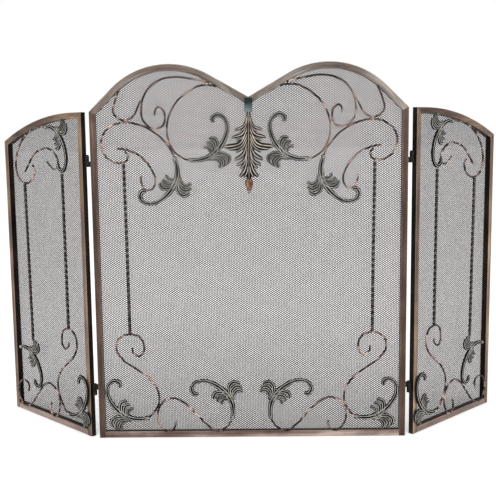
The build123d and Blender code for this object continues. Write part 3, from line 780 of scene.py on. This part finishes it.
def weave_lines(outline, slope, spacing, depth):
    """Parallel wires at a slope, cut where they leave the outline."""
    turn = math.radians(slope)
    along = (math.cos(turn), math.sin(turn))
    across = (-along[1], along[0])
    reach = [x * across[0] + z * across[1] for x, z in outline]
    lines = []
    offset = math.floor(min(reach) / spacing) * spacing + spacing / 2
    while offset < max(reach):
        cuts = []
        for (x1, z1), (x2, z2) in zip(outline, outline[1:] + outline[:1]):
            one = x1 * across[0] + z1 * across[1] - offset
            two = x2 * across[0] + z2 * across[1] - offset
            if (one < 0) != (two < 0):
                share = one / (one - two)
                x, z = x1 + (x2 - x1) * share, z1 + (z2 - z1) * share
                cuts.append(x * along[0] + z * along[1])
        cuts.sort()
        for low, high in zip(cuts[::2], cuts[1::2]):
            if high - low > SHORTEST_WIRE:
                aside, up = offset * across[0], offset * across[1]
                lines.append([
                    (run * along[0] + aside, depth, run * along[1] + up) for run in (low, high)
                ])
        offset += spacing
    return lines


def wire_tree():
    """Gives each line the section of a wire flattened towards the depth it lies at."""
    tree, wiring, given, path = start_tree("mesh_wire", {
        "Wire width": 0.0018, "Flattening": 0.24, "Depth": 0.0065,
    })
    half = math_node(wiring, "MULTIPLY", given["Wire width"], 0.5)
    circle = {"Resolution": 6, "Radius": half}
    section = wiring.add("GeometryNodeCurvePrimitiveCircle", circle).outputs[0]
    swept = sweep(wiring, path, section)
    position = wiring.add("GeometryNodeInputPosition").outputs[0]
    parts = wiring.add("ShaderNodeSeparateXYZ", {0: position}).outputs
    out = math_node(wiring, "SUBTRACT", parts[1], given["Depth"])
    flat = math_node(wiring, "MULTIPLY_ADD", out, given["Flattening"], given["Depth"])
    place = wiring.add("ShaderNodeCombineXYZ", {0: parts[0], 1: flat, 2: parts[2]}).outputs[0]
    moved = wiring.add("GeometryNodeSetPosition", {"Geometry": swept, "Position": place})
    end_tree(wiring, given, moved.outputs[0])
    return tree


WEAVE_SLOPE = 34            # wires from level, degrees
WEAVE_SPACING = 3.95
RISING_DEPTH = 6.4          # middle of the wires behind the panel's middle plane
FALLING_DEPTH = 6.66
weave = wire_tree()
for panel, cloth in (("centre", centre_cloth), ("left", side_cloth), ("right", side_cloth)):
    for run, slope, depth in (
        ("rising", WEAVE_SLOPE, RISING_DEPTH), ("falling", -WEAVE_SLOPE, FALLING_DEPTH)
    ):
        grown(
            f"{panel}_mesh_{run}_wires", weave_lines(cloth, slope, WEAVE_SPACING, depth), panel,
            weave, {"Depth": depth * MM}, wire_finish, [panel + "_mesh"],
        )

# ---- finishes of the pieces kept from the frame -------------------------------------
kept_finishes = {
    "centre_left_stile": stile_finish,
    "centre_right_stile": stile_finish,
    "centre_bottom_rail": rail_finish,
    "centre_left_arch": arch_left_finish,
    "centre_right_arch": arch_right_finish,
    "left_bottom_rail": wing_finishes["left", "rail"],
    "right_bottom_rail": wing_finishes["right", "rail"],
    "left_crown": wing_finishes["left", "crown"],
    "right_crown": wing_finishes["right", "crown"],
    "pendant_collar": collar_finish,
}
for node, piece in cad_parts.items():
    if piece.hide_render:   # a made piece stands in for it
        continue
    if node in kept_finishes:
        finish = kept_finishes[node]
    elif node.startswith("left") and "stile" in node:
        finish = wing_finishes["left", "stile"]
    elif "stile" in node:
        finish = wing_finishes["right", "stile"]
    elif "strips" in node or "rivets" in node:
        finish = fixing_finish
    elif "knuckles" in node or "pins" in node:
        finish = hinge_finish
    else:
        finish = rod_finish
    piece.data.materials.clear()
    piece.data.materials.append(finish)

# ---- floor, light and camera --------------------------------------------------------
FLOOR_REACH = 30
FLOOR_HEIGHT = -0.001       # just under the screen's feet
floor_mesh = bpy.data.meshes.new("studio_floor")
floor_corners = [
    (x * FLOOR_REACH, y * FLOOR_REACH, FLOOR_HEIGHT)
    for x, y in ((-1, -1), (1, -1), (1, 1), (-1, 1))
]
floor_mesh.from_pydata(floor_corners, [], [(0, 1, 2, 3)])
floor = bpy.data.objects.new("studio_floor", floor_mesh)
bpy.context.collection.objects.link(floor)
floor_material, floor_wiring = start_material("pale_floor")
floor_shader = floor_wiring.add(
    "ShaderNodeBsdfPrincipled",
    {
        "Base Color": (0.9, 0.9, 0.9, 1), "Roughness": 0.9, "Specular IOR Level": 0.1,
        "Emission Color": (1, 1, 1, 1), "Emission Strength": 0.3,
    },
)
floor_wiring.add("ShaderNodeOutputMaterial", {"Surface": floor_shader.outputs[0]})
floor_mesh.materials.append(floor_material)

world = bpy.data.worlds.new("studio")
bpy.context.scene.world = world
world.use_nodes = True
world.node_tree.nodes.clear()
sky = Wiring(world.node_tree)
# the camera sees plain white, and the screen is lit by a dome that is darker near the ground
heading = sky.add("ShaderNodeTexCoord").outputs["Generated"]
height = map_range(sky, sky.add("ShaderNodeSeparateXYZ", {0: heading}).outputs[2], -1.0, 1.0)
dome = grey_ramp(sky, height, [(0.2, 0.35), (0.5, 0.5), (0.72, 0.85), (1.0, 1)])
around_light = sky.add("ShaderNodeBackground", {"Color": dome, "Strength": 1.0}).outputs[0]
backdrop = sky.add("ShaderNodeBackground", {"Color": (1, 1, 1, 1), "Strength": 1.0}).outputs[0]
seen = sky.add("ShaderNodeLightPath").outputs["Is Camera Ray"]
both = sky.add("ShaderNodeMixShader", {0: seen, 1: around_light, 2: backdrop}).outputs[0]
sky.add("ShaderNodeOutputWorld", {"Surface": both})
bpy.context.scene.view_settings.view_transform = "Standard"


def soft_light(name, place, aim, size, power):
    lamp = bpy.data.lights.new(name, "AREA")
    lamp.size = size
    lamp.energy = power
    holder = bpy.data.objects.new(name, lamp)
    holder.location = place
    holder.rotation_euler = (Vector(aim) - Vector(place)).to_track_quat("-Z", "Y").to_euler()
    bpy.context.collection.objects.link(holder)


SCREEN_MIDDLE = (0, 0, 0.4)
soft_light("key_light", (-1.2, -2.6, 2.4), SCREEN_MIDDLE, size=1.4, power=45)
soft_light("fill_light", (2.2, -2.0, 1.4), SCREEN_MIDDLE, size=1.6, power=22)

CAMERA_PLACE = (-0.0144, -1.9134, 0.6844)
CAMERA_TURNS = (1.193, -7.637, 0.852)       # yaw, pitch and roll, degrees

camera_data = bpy.data.cameras.new("camera")
camera_data.lens = 63.9
camera_data.sensor_width = 36
camera_data.shift_x = 0.0463
camera_data.clip_end = 100
camera = bpy.data.objects.new("camera", camera_data)
yaw, pitch, roll = (math.radians(angle) for angle in CAMERA_TURNS)
look = Matrix.Rotation(yaw, 4, "Z") @ Matrix.Rotation(pitch, 4, "X") @ Matrix.Rotation(roll, 4, "Y")
level = Matrix.Rotation(math.radians(90), 4, "X")
camera.matrix_world = Matrix.Translation(CAMERA_PLACE) @ look @ level
bpy.context.collection.objects.link(camera)
bpy.context.scene.camera = camera

bpy.context.view_layer.update()
